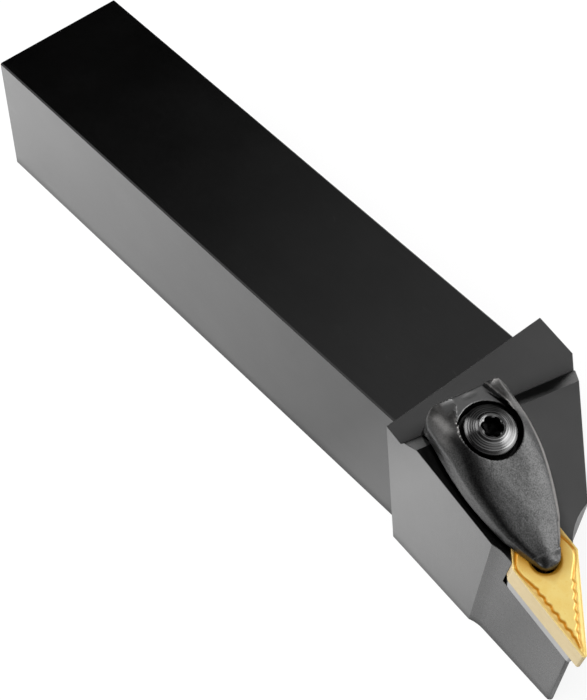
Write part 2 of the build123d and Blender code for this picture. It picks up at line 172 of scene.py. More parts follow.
# materials
class Net:
    """The node tree of one material or of the world."""

    def __init__(self, name, world=False):
        if world:
            self.owner = bpy.data.worlds.new(name)
        else:
            self.owner = bpy.data.materials.new(name)
        self.owner.use_nodes = True
        self.tree = self.owner.node_tree
        self.tree.nodes.clear()

    def add(self, kind, links=None, **sets):
        """A node with its settings, and its sockets linked or set."""
        n = self.tree.nodes.new(kind)
        for key, value in sets.items():
            setattr(n, key, value)
        for key, value in (links or {}).items():
            socket = n.inputs[key]
            if isinstance(value, bpy.types.NodeSocket):
                self.tree.links.new(value, socket)
            else:
                socket.default_value = value
        return n

    def place(self):
        """Position in the object's own space, in millimetres."""
        own = self.add("ShaderNodeTexCoord").outputs["Object"]
        return self.vector("SCALE", own, Scale=1 / MM)

    def vector(self, op, a, b=None, out=0, **more):
        """Result of one vector operation."""
        links = {0: a, **more}
        if b is not None:
            links[1] = b
        return self.add("ShaderNodeVectorMath", links, operation=op).outputs[out]

    def noise(self, place, scale, detail, rough):
        """A cloudy value from 0 to 1."""
        links = {"Vector": place, "Scale": scale, "Detail": detail, "Roughness": rough}
        return self.add("ShaderNodeTexNoise", links).outputs["Fac"]

    def ramp(self, fac, stops):
        """Colours or greys over a value, given as pairs of a place and a colour."""
        n = self.add("ShaderNodeValToRGB", {"Fac": fac})
        e = n.color_ramp.elements
        while len(e) < len(stops):
            e.new(0.5)
        for element, (at, colour) in zip(e, stops):
            element.position = at
            c = colour if isinstance(colour, (tuple, list)) else (colour,) * 3
            element.color = (*c, 1.0)
        return n.outputs["Color"]

    def math(self, op, a, b=0.0):
        """Result of one sum on numbers."""
        return self.add("ShaderNodeMath", {0: a, 1: b}, operation=op).outputs[0]

    def mix(self, fac, a, b, kind="MIX"):
        """Two colours or greys mixed."""
        n = self.add("ShaderNodeMix", data_type="RGBA", blend_type=kind)
        for socket, value in ((n.inputs[0], fac), (n.inputs[6], a), (n.inputs[7], b)):
            if isinstance(value, bpy.types.NodeSocket):
                self.tree.links.new(value, socket)
            elif socket.type == "RGBA" and not isinstance(value, (tuple, list)):
                socket.default_value = (value, value, value, 1)
            elif socket.type == "RGBA":
                socket.default_value = (*value, 1)
            else:
                socket.default_value = value
        return n.outputs[2]

    def span(self, value, lo, hi):
        """A value from 0 to 1, spread from lo to hi."""
        return self.add("ShaderNodeMapRange", {"Value": value, "To Min": lo, "To Max": hi}).outputs[0]

    def span_from(self, value, lo, hi):
        """A value from lo to hi, spread from 0 to 1."""
        return self.add("ShaderNodeMapRange", {"Value": value, "From Min": lo, "From Max": hi}).outputs[0]

    def bump(self, height, strength, distance, under=None):
        """Relief from a height, over another relief if one is given."""
        links = {"Height": height, "Strength": strength, "Distance": distance * MM}
        if under is not None:
            links["Normal"] = under
        return self.add("ShaderNodeBump", links).outputs[0]

    def shaded(self, distance, power):
        """How open a place is, from 0 in a deep corner to 1 on a free face."""
        ao = self.add("ShaderNodeAmbientOcclusion", {"Distance": distance * MM}, samples=6)
        return self.math("POWER", ao.outputs["AO"], power)

    def stretched(self, place, scale):
        """A place scaled by its own factor on each axis."""
        return self.add("ShaderNodeMapping", {"Vector": place, "Scale": scale}).outputs[0]

    def painted(self, name):
        """A share that is stored at the mesh's points."""
        return self.add("ShaderNodeAttribute", attribute_name=name).outputs["Fac"]

    def surface(self, links):
        """The finished material."""
        shader = self.add("ShaderNodeBsdfPrincipled", links)
        out = self.add("ShaderNodeOutputMaterial")
        self.tree.links.new(shader.outputs[0], out.inputs["Surface"])
        return self.owner


def oxide(name, tone, rough, lay_scale=(0.12, 3.4, 3.4), scratch_share=0.3, corner_shade_power=2.0):
    """Black oxide on machined steel, with painted shade darkening its corners, and a straight lay in it.
    """
    n = Net(name)
    p = n.place()
    cloud = n.noise(p, 0.07, 4.0, 0.6)
    fine = n.noise(p, 2.6, 3.0, 0.6)
    lay = n.stretched(p, lay_scale)
    line = n.noise(lay, 1.3, 5.0, 0.7)
    dark, light = tone * 0.88, tone * 1.12
    colour = n.ramp(cloud, [(0.3, dark), (0.7, light)])
    colour = n.mix(0.4, colour, n.ramp(line, [(0.3, dark), (0.7, light)]))
    cells = n.add("ShaderNodeTexVoronoi", {"Vector": lay, "Scale": 0.3}, feature="DISTANCE_TO_EDGE")
    cell = cells.outputs["Distance"]
    where = n.ramp(n.noise(p, 0.16, 2.0, 0.5), [(0.52, 0.0), (0.66, 1.0)])
    scratch = n.math("MULTIPLY", n.ramp(cell, [(0.0, 1.0), (0.006, 0.0)]), where)
    colour = n.mix(n.math("MULTIPLY", scratch, scratch_share), colour, (0.42, 0.42, 0.42))
    # painted shade: colour darkened where ambient occlusion finds corners and gaps
    colour = n.mix(1.0, colour, n.shaded(2.5, corner_shade_power), "MULTIPLY")
    roughness = n.math("ADD", n.span(fine, rough - 0.05, rough + 0.05), n.span(cloud, -0.03, 0.03))
    relief = n.bump(line, 0.10, 0.015)
    relief = n.bump(fine, 0.05, 0.01, relief)
    return n.surface({"Base Color": colour, "Metallic": 1.0, "Roughness": roughness, "Normal": relief})


def edge_steel(name, tone):
    """The same oxide, lighter along an edge as a painted highlight."""
    n = Net(name)
    p = n.place()
    edge_noise = n.noise(p, 0.8, 4.0, 0.7)
    colour = n.ramp(edge_noise, [(0.3, tone * 0.8), (0.7, tone * 1.3)])
    return n.surface({"Base Color": colour, "Metallic": 1.0, "Roughness": n.span(edge_noise, 0.3, 0.42)})


def forging(name):
    """Blackened drop forging with a fine sandy skin, painted shade in its hollows and painted highlights
    on its rims.
    """
    n = Net(name)
    p = n.place()
    cloud = n.noise(p, 0.4, 3.0, 0.55)
    grit = n.noise(p, 4.6, 2.5, 0.6)
    pits = n.add("ShaderNodeTexVoronoi", {"Vector": p, "Scale": 4.2}).outputs["Distance"]
    colour = n.ramp(cloud, [(0.3, 0.09), (0.7, 0.13)])
    colour = n.mix(0.6, colour, n.ramp(grit, [(0.32, 0.05), (0.68, 0.21)]))
    # painted shade: colour darkened where ambient occlusion finds corners and gaps
    colour = n.mix(1.0, colour, n.shaded(0.9, 1.3), "MULTIPLY")
    roughness = n.span(grit, 0.28, 0.42)
    # painted highlight: the rims lighten by the stored rim share
    rim_highlight = n.math("MULTIPLY", n.painted("rim"), n.span(n.noise(p, 1.6, 3.0, 0.6), 0.5, 1.0))
    colour = n.mix(rim_highlight, colour, (0.62, 0.60, 0.58))
    relief = n.bump(cloud, 0.2, 0.06)
    relief = n.bump(grit, 0.35, 0.03, relief)
    relief = n.bump(pits, 0.15, 0.02, relief)
    return n.surface({"Base Color": colour, "Metallic": 1.0, "Roughness": roughness, "Normal": relief})


def turned(name, tone, rough, foot, axis):
    """Blackened steel turned on a lathe, with rings about its own axis."""
    ring_pitch = 0.26
    n = Net(name)
    p = n.place()
    arm = n.vector("SUBTRACT", p, foot / MM)
    height = n.vector("DOT_PRODUCT", arm, axis, "Value")
    spoke = n.vector("SUBTRACT", arm, n.vector("SCALE", axis, Scale=height))
    r = n.vector("LENGTH", spoke, out="Value")
    run = n.math("ADD", r, n.math("MULTIPLY", height, 0.5))
    groove = n.math("SINE", n.math("MULTIPLY", run, 2 * math.pi / ring_pitch))
    links = {"W": n.math("MULTIPLY", run, 2.1), "Scale": 1.0, "Detail": 4.0}
    uneven = n.add("ShaderNodeTexNoise", links, noise_dimensions="1D").outputs["Fac"]
    fine = n.noise(p, 5.0, 3.0, 0.6)
    colour = n.ramp(uneven, [(0.3, tone * 0.75), (0.7, tone * 1.25)])
    colour = n.mix(n.span(groove, 0.0, 0.35), colour, (tone * 0.6,) * 3)
    # painted shade: colour darkened where ambient occlusion finds corners and gaps
    colour = n.mix(1.0, colour, n.shaded(1.2, 1.6), "MULTIPLY")
    relief = n.bump(uneven, 0.5, 0.06)
    relief = n.bump(groove, 0.4, 0.016, relief)
    relief = n.bump(fine, 0.1, 0.01, relief)
    across = n.add("ShaderNodeVectorTransform", {"Vector": spoke}, vector_type="VECTOR",
                   convert_from="OBJECT", convert_to="WORLD").outputs[0]
    roughness = n.span(fine, rough - 0.05, rough + 0.05)
    return n.surface({"Base Color": colour, "Metallic": 1.0, "Roughness": roughness, "Normal": relief,
                      "Anisotropic": 0.9, "Tangent": n.vector("NORMALIZE", across)})


def ground(name, tone):
    """Ground hard metal, light grey, with a fine straight lay."""
    n = Net(name)
    p = n.place()
    line = n.noise(n.stretched(p, (0.2, 6.0, 6.0)), 1.5, 4.0, 0.7)
    colour = n.ramp(line, [(0.3, tone * 0.9), (0.7, tone * 1.05)])
    roughness = n.span(line, 0.29, 0.40)
    relief = n.bump(line, 0.1, 0.01)
    return n.surface({"Base Color": colour, "Metallic": 1.0, "Roughness": roughness, "Normal": relief})


def coating(name, rgb, deep, rough, grit_strength, metal, groove=None, lane=None):
    """Vapour coated hard metal, part mirror and part satin, with painted shade in its corners and deeper
    painted shade on a groove's walls.
    """
    n = Net(name)
    p = n.place()
    cloud = n.noise(p, 0.6, 3.0, 0.6)
    grit = n.noise(p, 6.0, 3.0, 0.65)
    spot = n.noise(p, 1.9, 3.0, 0.7)
    colour = n.mix(n.ramp(cloud, [(0.4, 0.0), (0.75, 0.35)]), rgb, deep)
    colour = n.mix(n.ramp(grit, [(0.5, 0.0), (0.9, 0.4)]), colour, deep)
    colour = n.mix(n.ramp(spot, [(0.58, 0.0), (0.72, 0.45)]), colour, deep)
    # painted shade: a deeper amber where ambient occlusion finds corners and the clamp close by
    corner = tuple(c * d for c, d in zip(deep, (0.75, 0.55, 0.2)))
    colour = n.mix(n.shaded(2.2, 3.6), corner, colour)
    if groove:
        colour = n.mix(n.math("MULTIPLY", n.painted("lane"), 0.5), colour, lane)
        # painted shade: the groove's walls take a deep amber, stored at each point
        colour = n.mix(n.painted("groove"), colour, groove)
    roughness = n.span(grit, rough - 0.05, rough + 0.07)
    relief = n.bump(grit, grit_strength, 0.012)
    return n.surface({"Base Color": colour, "Metallic": metal, "Roughness": roughness, "Normal": relief})


SHANK = oxide("black_oxide_shank", 0.12, 0.20)
HEAD = oxide("black_oxide_head", 0.18, 0.24, (3.2, 3.2, 0.12), 0.2, 1.5)
FLANK = oxide("black_oxide_flank", 0.13, 0.27, (0.12, 3.2, 3.2), 0.15)
# painted highlight: the bevelled edge strips get a lighter oxide
EDGE = edge_steel("black_oxide_edge", 0.22)
FORGING = forging("black_forging_skin")
MILLED = oxide("clamp_milled_face", 0.27, 0.3, (3.0, 0.3, 3.0), 0.1, 1.2)
SCREW = turned("clamp_screw_turned_face", 0.29, 0.19, clamp_foot, clamp_up)
SMALL_SCREW = turned("shim_screw_turned_face", 0.24, 0.28, insert_centre, normal)
# painted shade: a darker oxide for the screw sockets and the clamp slot's right wall, standing in for
# their shade
DARK_SHADE = oxide("painted_shade_dark_oxide", 0.10, 0.4, (1.0, 1.0, 0.4), 0.0, 3.0)
SPRING = ground("spring_wire", 0.45)
SHIM = ground("shim_ground", 0.55)
# the groove colour below is painted shade for the groove's walls
GOLD = coating(
    "gold_coating_top", (0.95, 0.72, 0.24), (0.86, 0.52, 0.08), 0.20, 0.10, 0.5,
    groove=(0.60, 0.23, 0.01), lane=(0.95, 0.73, 0.31),
)
GOLD_SIDE = coating("gold_coating_side", (0.76, 0.62, 0.36), (0.66, 0.51, 0.25), 0.42, 0.25, 0.6)


# holder body
body = copied("holder_body", "holder_body_steel")
for material in (SHANK, HEAD, FLANK, EDGE):
    body.data.materials.append(material)
eased(body, 0.16, 50, strip=3)
cutting_point = Vector((150.803, -19.862, 12.070)) * MM
head_start = 106.15 * MM
flank_length = 21.2 * MM
for face in body.data.polygons:
    face.material_index = 1 if face.center.x > head_start else 0
    before_point = (face.center - cutting_point).dot(along)
    if before_point > -flank_length and face.normal.dot(inward) < -0.7:
        face.material_index = 2
applied(body)
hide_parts("holder_body")
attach(body, "holder")

# shim
shim = copied("shim", "shim_plate")
shim.data.materials.append(SHIM)
eased(shim, 0.12, 30)
applied(shim)
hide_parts("shim")
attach(shim, "holder")


# turned screws
LOBES = 6
LOBE_DEPTH = 0.17
SPOKES = 96
STEPS_PER_TURN = 8
# share of the socket's radius, height from its floor or from its top
SOCKET_LOW = [(0.72, 0.0), (0.97, 0.03), (1.0, 0.12)]
SOCKET_HIGH = [(1.0, -0.10), (1.03, -0.03)]


def lobe(radius, angle):
    """Radius of a six lobe outline at an angle."""
    return radius * (1 - LOBE_DEPTH * ((1 - math.cos(LOBES * angle)) / 2) ** 1.6)


def screw_piece(name, matrix, spec, material, socket_shade_material):
    """A screw by rings: socket, head, shank and a true helical thread."""
    angles = [2 * math.pi * i / SPOKES for i in range(SPOKES)]
    radius, top = spec["socket"] / 2, spec["top"]
    floor = top - spec["socket_depth"]
    # the socket, from the drilled cone in its floor up to its rim
    rings = [[(0.02, floor - 0.35)] * SPOKES, [(radius * 0.60, floor - 0.12)] * SPOKES]
    levels = [(share, floor + up) for share, up in SOCKET_LOW] + [(1.0, (floor + top) / 2)]
    levels += [(share, top + up) for share, up in SOCKET_HIGH]
    for share, z in levels:
        rings.append([(lobe(radius * share, a), z) for a in angles])
    edge = len(rings) - 2
    rings.append([(max(radius * 1.12, lobe(radius * 1.08, a)), top) for a in angles])
    for r, z in spec["head"]:
        rings.append([(r, z)] * SPOKES)
    # the thread, which runs in from the shank and out to the end
    r_out, r_root, pitch = spec["thread"]
    z0, z1 = spec["thread_from"], spec["thread_to"]
    steps = int((z0 - z1) / pitch * STEPS_PER_TURN)
    run_in, run_out, deep = 10, 6, r_out - r_root
    rings.append([(r_out, z0 + 0.15)] * SPOKES)
    for k in range(steps + 1):
        z = z0 + (z1 - z0) * k / steps
        row = []
        for i in range(SPOKES):
            turn = ((z0 - z) / pitch + i / SPOKES) % 1.0
            # 1 on the thread's crest, 0 in its root
            tooth = max(0.0, min(1.0, abs(turn - 0.5) * 2.7 - 0.17))
            r = r_out - deep * (1 - tooth) * min(1.0, k / run_in)
            if k > steps - run_out:
                r = min(r, r_root + deep * (steps - k) / run_out)
            row.append((r, z))
        rings.append(row)
    rings.append([(r_root * 0.85, z1 - 0.12)] * SPOKES)
    rings.append([(0.02, z1 - 0.14)] * SPOKES)
    verts, faces, groups = [], [], []
    for row in rings:
        for a, (r, z) in zip(angles, row):
            verts.append((r * math.cos(a), r * math.sin(a), z))
    for k in range(len(rings) - 1):
        faces += band((k + 1) * SPOKES, k * SPOKES, SPOKES)
        # the socket's faces take the dark shade material, painted shade in the recess
        groups += [1 if k <= edge else 0] * SPOKES
    faces.append(tuple(range(SPOKES)))
    groups.append(1)
    base = (len(rings) - 1) * SPOKES
    faces.append(tuple(base + i for i in reversed(range(SPOKES))))
    groups.append(0)
    obj = made(name, verts, faces, matrix, groups)
    obj.data.materials.append(material)
    obj.data.materials.append(socket_shade_material)
    return obj


screw = screw_piece(
    "clamp_screw_turned", SEAT,
    {
        "socket": 3.35, "socket_depth": 2.0, "top": 8.22,
        "head": [
            (2.02, 8.24), (2.12, 8.22), (2.22, 8.13), (2.30, 8.06), (2.55, 7.98), (2.9, 7.86), (3.3, 7.70),
            (3.6, 7.55), (3.82, 7.40), (3.96, 7.24), (4.03, 7.05), (4.04, 6.8), (4.04, 4.75), (3.98, 4.58),
            (3.85, 4.53), (2.7, 4.53), (2.5, 4.45), (2.45, 4.2), (2.45, 3.0),
        ],
        "thread": (2.47, 2.08, 0.8), "thread_from": 1.6, "thread_to": -15.3,
    },
    SCREW, DARK_SHADE,
)
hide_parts("clamp_screw")
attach(screw, "clamp_screw")

small = screw_piece(
    "shim_screw_turned", SHIM_SEAT,
    {
        "socket": 1.9, "socket_depth": 1.1, "top": -0.12,
        "head": [
            (1.5, -0.12), (2.3, -0.13), (2.68, -0.17), (2.76, -0.24), (2.6, -0.42), (2.1, -0.92),
            (1.72, -1.3), (1.70, -1.6),
        ],
        "thread": (1.72, 1.42, 0.6), "thread_from": -2.2, "thread_to": -8.75,
    },
    SMALL_SCREW, DARK_SHADE,
)
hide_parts("shim_screw")
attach(small, "holder")

# coil spring, with half a coil flat at each end
coils, wire, mean_r, low, high = 3.6, 0.34, 3.03, 0.42, 2.58
around, length = 12, 150
verts, faces = [], []
for k in range(length + 1):
    t = k / length
    a = 2 * math.pi * coils * t
    rise = min(1.0, max(0.0, (t - 0.5 / coils) / (1 - 1.0 / coils)))
    z = low + (high - low) * rise
    radius = wire * (1.0 - 0.35 * (1 - min(1.0, k / 3, (length - k) / 3)))
    for i in range(around):
        b = 2 * math.pi * i / around
        r = mean_r + radius * math.cos(b)
        verts.append((r * math.cos(a), r * math.sin(a), z + radius * math.sin(b)))
for k in range(length):
    faces += band(k * around, (k + 1) * around, around)
faces.append(tuple(reversed(range(around))))
faces.append(tuple(length * around + i for i in range(around)))
spring = made("clamp_spring_coil", verts, faces, SEAT)
spring.data.materials.append(SPRING)
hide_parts("clamp_spring")
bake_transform(spring)

# insert
IN = 9.525 / 2
SIDE = 2 * IN / math.sin(corner)
APEX = Vector((SIDE / 2 * (1 + math.cos(corner)), -IN))
TRAIL = Vector((-math.cos(corner), math.sin(corner)))
NOSE_IN = Vector((-math.cos(corner / 2), math.sin(corner / 2)))
SHARP_R, BLUNT_R, HOLE_R = 0.4, 0.6, 3.81 / 2
# hone on the edge, lane beside it, wall of the raised middle, lane at a tip, waves, depth of it all
HONE_WIDTH, HONE_DEPTH = 0.06, 0.03
LANE_FROM, LANE_WIDTH, LANE_DEPTH = 0.05, 0.70, 0.29
WALL_WIDTH = 0.64
TIP_LANE = 2.15
WAVE, WAVE_PITCH = 0.12, 1.5
RELIEF = 0.4
# a length not found yet, the longest that is blended, how sharp the blend is
FAR, BLEND_MAX, KEEN = 9.0, 5.0, 9.0


def outline(step):
    """Points round the diamond, with its rounded corners."""
    corners = [APEX, APEX + TRAIL * SIDE, -APEX, -APEX - TRAIL * SIDE]
    arcs = []
    for k, here in enumerate(corners):
        r = BLUNT_R if k % 2 else SHARP_R
        u = (corners[k - 1] - here).normalized()
        v = (corners[(k + 1) % 4] - here).normalized()
        half = math.acos(max(-1, min(1, u.dot(v)))) / 2
        centre = here + (u + v).normalized() * (r / math.sin(half))
        back = r / math.tan(half)
        arcs.append((centre, here + u * back, here + v * back, math.pi - 2 * half))
    pts = []
    for k, (centre, first, last, sweep) in enumerate(arcs):
        parts = 6 if k % 2 else 12
        for i in range(parts + 1):
            f = i / parts
            start = (first - centre) * (math.sin((1 - f) * sweep) / math.sin(sweep))
            pts.append(centre + start + (last - centre) * (math.sin(f * sweep) / math.sin(sweep)))
        following = arcs[(k + 1) % 4][1]
        parts = int((following - last).length / step)
        for i in range(1, parts):
            pts.append(last.lerp(following, i / parts))
    return pts


def breaker(s):
    """How far inside the edge the raised middle starts, at a run s from the sharp corner."""
    base = 0.46 + 0.56 * smooth((s - 1.2) / 3.0)
    wave = smooth(s - 3.4) * (1 - smooth(s - 12.2))
    late = smooth((s - 12.4) / 3.2)
    return base - 0.50 * late + WAVE * wave * math.sin(2 * math.pi * s / WAVE_PITCH)


def edges_of(p):
    """Distance to each edge and the run along it from its nearer sharp corner."""
    out = []
    for sign in (1, -1):
        rel = p * sign - APEX
        out.append((rel.y, -rel.x))
        out.append((rel.y * TRAIL.x - rel.x * TRAIL.y, rel.dot(TRAIL)))
    return out


def blended(a, b):
    """The smaller of two lengths, rounded over where they meet."""
    if b >= BLEND_MAX:
        return a
    return -math.log(math.exp(-a * KEEN) + math.exp(-b * KEEN)) / KEEN


def tip_gaps(p):
    """Distances from the two sharp corners, along their middle line."""
    return [(p * sign - APEX).dot(NOSE_IN) for sign in (1, -1)]


def rise_at(p):
    """Signed distance inside the raised middle's outline, and distance from the nearest edge."""
    near, rise = FAR, FAR
    for d, s in edges_of(p):
        near = min(near, abs(d))
        rise = blended(abs(d) - breaker(s), rise)
    for gap in tip_gaps(p):
        rise = blended(gap - TIP_LANE, rise)
    return rise, near


def top_height(p):
    """Height of the insert's face above its highest level at a point, in millimetres."""
    rise, near = rise_at(p)
    hone = -HONE_DEPTH * max(0.0, 1 - near / HONE_WIDTH)
    lane = -LANE_DEPTH * smooth((near - LANE_FROM) / LANE_WIDTH)
    lift = smooth(rise / WALL_WIDTH + 0.5)
    return hone * (1 - lift) - 0.004 + lane * (1 - lift)


def shares(v):
    """How much painted shade a point takes on the groove's wall, less along one edge and near the tips,
    and how much it lies on the lane outside it.
    """
    if not (-RELIEF < v[2] <= 0.0 or -RELIEF < -THICK - v[2] <= 0.0):
        return 0.0, 0.0
    p = Vector(v[:2])
    rise, near = rise_at(p)
    wall = smooth((rise + 0.36) / 0.22) * (1 - smooth((rise + 0.02) / 0.22))
    right = abs(edges_of(p)[1][0])
    wall *= 1 - 0.5 * smooth((near + 0.3 - right) / 0.3)
    wall *= smooth((min(tip_gaps(p)) - 2.3) / 0.4 + 0.5)
    return wall, 1 - smooth((rise + 0.55) / 0.25)


# distances of the face's rings from the edge, then the hole's broken rim, then the sides
INSET = [0.0, 0.02, 0.05, 0.09, 0.14, 0.2, 0.28, 0.36] + [0.42 + 0.06 * i for i in range(23)]
RIM = 0.60
BORE = [(0.52, -0.05), (0.42, -0.14), (0.14, -0.42), (0.03, -0.56), (0.0, -0.70), (0.0, -THICK / 2)]
SIDE_Z = [-0.06, -0.2, -1.6, -3.1, 0.2 - THICK, 0.06 - THICK]

ring = outline(0.15)
count = len(ring)
rows = [[p * (1 - d / IN) for p in ring] for d in INSET]
last = rows[-1]
for f in (0.25, 0.5, 0.75, 1.0):
    rows.append([p.lerp(p.normalized() * (HOLE_R + RIM), f) for p in last])
# top face, rim and bore, then the same mirrored, then the sides between the two
verts, faces, groups = [], [], []
for row in rows:
    verts += [(p.x, p.y, top_height(p)) for p in row]
for wider, z in BORE:
    verts += [(*(p.normalized() * (HOLE_R + wider)), z) for p in last]
half_rows = len(rows) + len(BORE)
bottom = half_rows * count
middle = bottom - count
verts += [(x, y, -THICK - z) for x, y, z in verts]
for k in range(half_rows - 1):
    faces += band(k * count, (k + 1) * count, count)
for k in range(half_rows - 1):
    faces += band(bottom + (k + 1) * count, bottom + k * count, count)
faces += band(middle, bottom + middle, count)
groups += [0] * len(faces)
chain = [0]
for z in SIDE_Z:
    chain.append(len(verts))
    verts += [(p.x, p.y, z) for p in ring]
chain.append(bottom)
for k in range(len(chain) - 1):
    faces += band(chain[k + 1], chain[k], count)
    groups += [1 if 0 < k < len(chain) - 2 else 0] * count
insert = made("insert_coated", verts, faces, INSERT, groups)
# painted shade: the groove share stored at each point, with the lane share
both_shares = [shares(v) for v in verts]
for index, name in enumerate(("groove", "lane")):
    share = insert.data.attributes.new(name, "FLOAT", "POINT")
    share.data.foreach_set("value", [pair[index] for pair in both_shares])
insert.data.materials.append(GOLD)
insert.data.materials.append(GOLD_SIDE)
bm = bmesh.new()
bm.from_mesh(insert.data)
bmesh.ops.recalc_face_normals(bm, faces=bm.faces)
bm.to_mesh(insert.data)
bm.free()
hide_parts("insert")
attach(insert, "holder")

# clamp, with sizes in its own frame: reach x, across y, height z
NOSE_AT, NOSE_R = 18.4, 2.1
ROUND_FROM = 19.32
REACH = 20.45
ROLL_R = 1.4
MILLED_HALF = 4.6
LOBE_TOP = 28.3 * MM
to_seat = SEAT.inverted()


def sweep(reach):
    """How far the sides have drawn in at a reach, from 0 to 1."""
    return (max(0.0, reach - 3.0) / 17.5) ** 1.65


def loft_half(reach):
    """Half the lofted width."""
    return 6.75 - 4.85 * sweep(reach)


def shoulder_at(reach):
    """Height at which the back meets the upright sides."""
    return 4.2 - 3.0 * sweep(reach)


def round_half(reach):
    """Half the width of the nose, round in plan."""
    return math.sqrt(max(0.04, NOSE_R ** 2 - (reach - NOSE_AT) ** 2))


def solid_half(reach, across):
    """Half the solid's width near its nose."""
    if reach < NOSE_AT - 0.15:
        return loft_half(reach)
    if reach < NOSE_AT + 0.15:
        return max(across, NOSE_R)
    return round_half(reach)


def wanted_half(reach):
    """Half the width where the sides run straight into the round nose."""
    if reach > ROUND_FROM:
        return round_half(reach)
    return 2.336 + (NOSE_AT - reach) * 0.4877


def slot_half(reach):
    """Half the width of the slot between the rear lobes."""
    return 2.7 + 1.5 * max(0.0, min(1.0, (reach + 6.9) / 4.5))


def nose_height(reach, across):
    """Height of the clamp's back near its nose, where it rolls over to the front."""
    shoulder = shoulder_at(reach)
    t = min(0.95, abs(across) / wanted_half(min(reach, ROUND_FROM)))
    crest = 6.85 - 0.3237 * (reach - 4.9)
    back = shoulder + (crest - shoulder) * (1 - 1.436 * t ** 2 + 0.888 * t ** 6)
    rolled = reach - (REACH - ROLL_R)
    if rolled > 0.43:
        front = math.sqrt(max(0.0, ROLL_R ** 2 - min(ROLL_R, rolled) ** 2))
        back = min(back, 0.78 + front)
    return back


def forged(at, out_dir):
    """A point of the solid's skin moved to its place on the forging."""
    q, local = at / MM, (to_seat @ at) / MM
    # slight waves of a forged skin, none on the milled floor
    swell = noise.noise(q * 0.45) * 0.035 + noise.noise(q * 1.7) * 0.012 - 0.035
    flat = 0.0
    if 6.6 < local.z < 7.0 and out_dir.dot(clamp_up) > 0.9:
        flat = smooth((MILLED_HALF - abs(local.y)) / 0.4) * smooth((5.6 - local.x) / 2.5)
    point = at + out_dir * (swell * (1 - flat) * MM)
    # fuller outer shoulder of the left lobe
    if local.x < 1.5 and local.y < -3.0 and local.z > 2.0:
        spoke = Vector((local.y + 3.0, local.z - 3.6)).normalized()
        full = smooth((spoke.x * -0.80 + spoke.y * 0.60 - 0.55) / 0.45) * smooth((1.5 - local.x) / 4.0)
        full *= smooth(out_dir.dot(clamp_side * -0.85 + clamp_up * 0.4) / 0.5)
        point += (clamp_side * -0.9 + clamp_up * 0.25) * (0.55 * full * MM)
    # raised rear of the right lobe
    if local.x < -1.0 and local.y > 2.0 and local.z > 5.6:
        high = smooth((-1.0 - local.x) / 3.0) * smooth((local.y - slot_half(local.x) + 0.1) / 0.2)
        high *= smooth((6.6 - local.y) / 1.5) * smooth((local.z - 5.6) / 0.9)
        point += clamp_up * (0.62 * high * MM)
        point.z = min(point.z, LOBE_TOP)
    # nose a hair slimmer
    if local.x > 17.0:
        point -= out_dir * (0.03 * smooth((local.x - 17.0) / 1.5) * MM)
    # sides drawn in to run straight into the nose
    if local.x > 14.0:
        squeeze = wanted_half(local.x) / solid_half(local.x, abs(local.y))
        squeeze = 1 + (squeeze - 1) * smooth(local.x - 14.0)
        point += clamp_side * (local.y * (squeeze - 1) * MM)
        local.y *= squeeze
    # back rolled over to the nose
    if local.x > NOSE_AT and out_dir.dot(clamp_up) > 0.1:
        rise = nose_height(local.x, local.y) - local.z
        share = smooth((local.z - shoulder_at(local.x) + 0.25) / 0.4)
        share *= smooth((local.x - NOSE_AT) / 0.8)
        point += clamp_up * (rise * share * MM)
    return point


def rim_highlight_share(at):
    """How much painted highlight a point gets: right edge, lobes and slot edges."""
    x, y, z = (to_seat @ at) / MM
    half = wanted_half(x) if x > 15 else loft_half(x)
    above = smooth((z - shoulder_at(x) + 0.1) / 0.3)
    ends = smooth((x + 5.0) / 3.0) * smooth((18.6 - x) / 1.5)
    right = above * smooth((y / half - 0.85) / 0.05) * ends
    lobes = smooth((z - 5.2) / 1.2) * smooth((1.0 - x) / 2.5) * smooth((abs(y) - 3.4) / 0.5)
    inner = smooth(1 - abs(abs(y) - slot_half(x) - 0.25) / 0.35)
    inner *= smooth((z - 7.1) / 0.3) * smooth((-0.6 - x) / 0.6)
    return max(0.30 * lobes, 0.8 * inner, right)


clamp = copied("clamp", "clamp_forging")
m = clamp.modifiers.new("skin", "REMESH")
m.mode = "VOXEL"
m.voxel_size = 0.13 * MM
m.use_smooth_shade = True
smoothed(clamp, "ease", 1)
applied(clamp)
places = [c for v in clamp.data.vertices for c in forged(v.co, v.normal)]
clamp.data.vertices.foreach_set("co", places)
clamp.data.update()
# painted highlight: a lighter share stored at each point on the clamp's rims
rim = clamp.data.attributes.new("rim", "FLOAT", "POINT")
rim.data.foreach_set("value", [rim_highlight_share(v.co) for v in clamp.data.vertices])
nose = clamp.vertex_groups.new(name="nose")
for v in clamp.data.vertices:
    reach = (to_seat @ v.co).x / MM
    if reach > 17.6:
        nose.add([v.index], smooth((reach - 17.6) / 0.8), "REPLACE")
smoothed(clamp, "blend", 2)
smoothed(clamp, "nose_blend", 12, "nose")
applied(clamp)
clamp.data.update()
for material in (FORGING, MILLED, DARK_SHADE):
    clamp.data.materials.append(material)
for face in clamp.data.polygons:
    x, y, z = (to_seat @ face.center) / MM
    flat_up = face.normal.dot(clamp_up) > 0.95
    if flat_up and 6.4 < z < 7.0 and x < -0.5 and abs(y) < MILLED_HALF:
        face.material_index = 1
    # painted shade: the slot's right inner wall takes the dark shade material
    if z > 6.8 and x < -0.4 and 2.0 < y < 5.0 and face.normal.dot(clamp_side) < -0.3:
        face.material_index = 2
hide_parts("clamp")
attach(clamp, "clamp")

# floor
FLOOR_GAP, FLOOR_HALF = 0.02 * MM, 1.6
